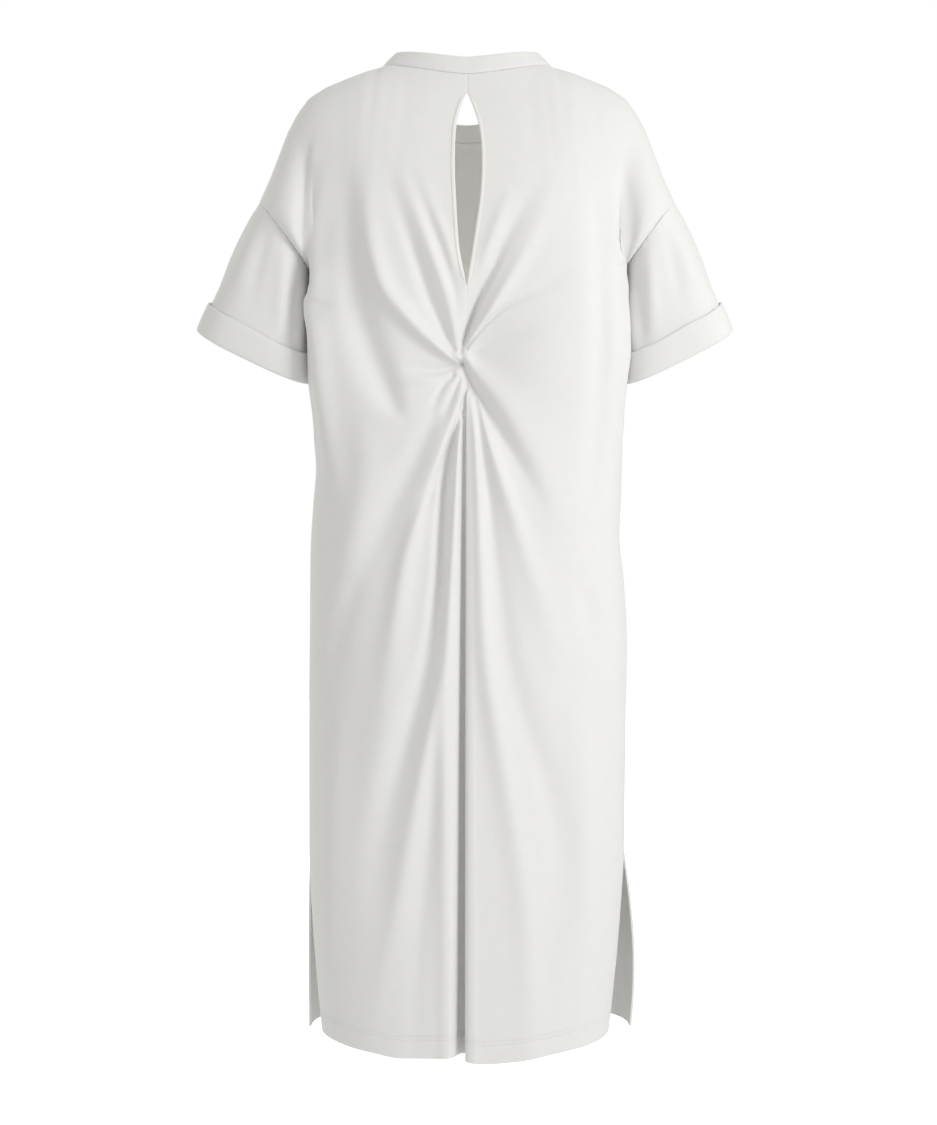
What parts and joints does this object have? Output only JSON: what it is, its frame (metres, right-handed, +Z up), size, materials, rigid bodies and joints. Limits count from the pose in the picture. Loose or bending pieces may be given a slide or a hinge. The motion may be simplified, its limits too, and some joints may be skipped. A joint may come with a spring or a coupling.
{
  "type": "dress",
  "caption": "Midi T-shirt dress of heavy off-white jersey: crew neck, dropped shoulders, turned-up cuffs, keyhole above a twist knot at the back, back pleat and side slits.",
  "frame": {"origin": "mount wearer_shoulders: centre of the neck, level with the highest points of the shoulder seams", "axes": "+Z up the wearer's body, -Y the front, +Y the back with the twist, +X the wearer's left"},
  "size_m": [0.6644, 0.2862, 1.2262],
  "materials": {
    "jersey": "soft matte heavy cotton jersey"
  },
  "bodies": {
    "root": {"front_panel": "jersey", "back_left_panel": "jersey", "back_right_panel": "jersey", "sleeve_left": "jersey", "sleeve_right": "jersey", "cuff_left": "jersey", "cuff_right": "jersey", "neckband": "jersey", "keyhole_binding_left": "jersey", "keyhole_binding_right": "jersey"}
  },
  "joints": []
}
